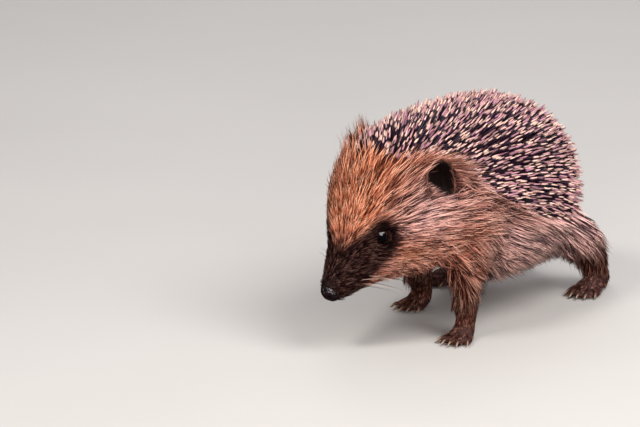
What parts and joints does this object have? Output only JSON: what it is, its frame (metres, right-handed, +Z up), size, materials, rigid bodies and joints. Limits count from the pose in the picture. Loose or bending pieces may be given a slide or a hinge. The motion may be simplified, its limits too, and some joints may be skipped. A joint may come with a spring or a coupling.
{
  "type": "hedgehog",
  "caption": "Life-size young European hedgehog walking with its nose down and its head turned a little, spiny back over a furred face, flanks and legs.",
  "frame": {"origin": "middle of the bounding box on the floor that the four soles stand on", "axes": "-Y is ahead, +X is the animal's left side and +Z is up"},
  "size_m": [0.0612, 0.1216, 0.0729],
  "materials": {
    "spines": "stiff spines, banded pale cream at the tip over dark brown, with a soft sheen",
    "face_fur": "coarse reddish-brown fur with pale hair tips",
    "flank_fur": "longer pinkish-brown fur with cream tips",
    "muzzle": "very short dark brown fur",
    "ear": "thin dark skin with sparse short hair",
    "leg_fur": "short dark brown fur with a reddish sheen",
    "bare_foot": "bare creased skin and horn-coloured claws",
    "wet_nose": "moist black skin, glossy",
    "eye": "wet glossy black"
  },
  "bodies": {
    "root": {"head": "face_fur", "snout": "muzzle", "lower_jaw": "muzzle", "nose": "wet_nose", "eye_left": "eye", "eye_right": "eye", "ear_left": "ear", "ear_right": "ear", "neck": "flank_fur", "mantle": "spines", "trunk": "flank_fur", "tail": "leg_fur", "fore_left_upper_arm": "leg_fur", "fore_left_forearm": "leg_fur", "fore_left_foot": "bare_foot", "fore_right_upper_arm": "leg_fur", "fore_right_forearm": "leg_fur", "fore_right_foot": "bare_foot", "hind_left_thigh": "leg_fur", "hind_left_shank": "leg_fur", "hind_left_foot": "bare_foot", "hind_right_thigh": "leg_fur", "hind_right_shank": "leg_fur", "hind_right_foot": "bare_foot"}
  },
  "joints": []
}
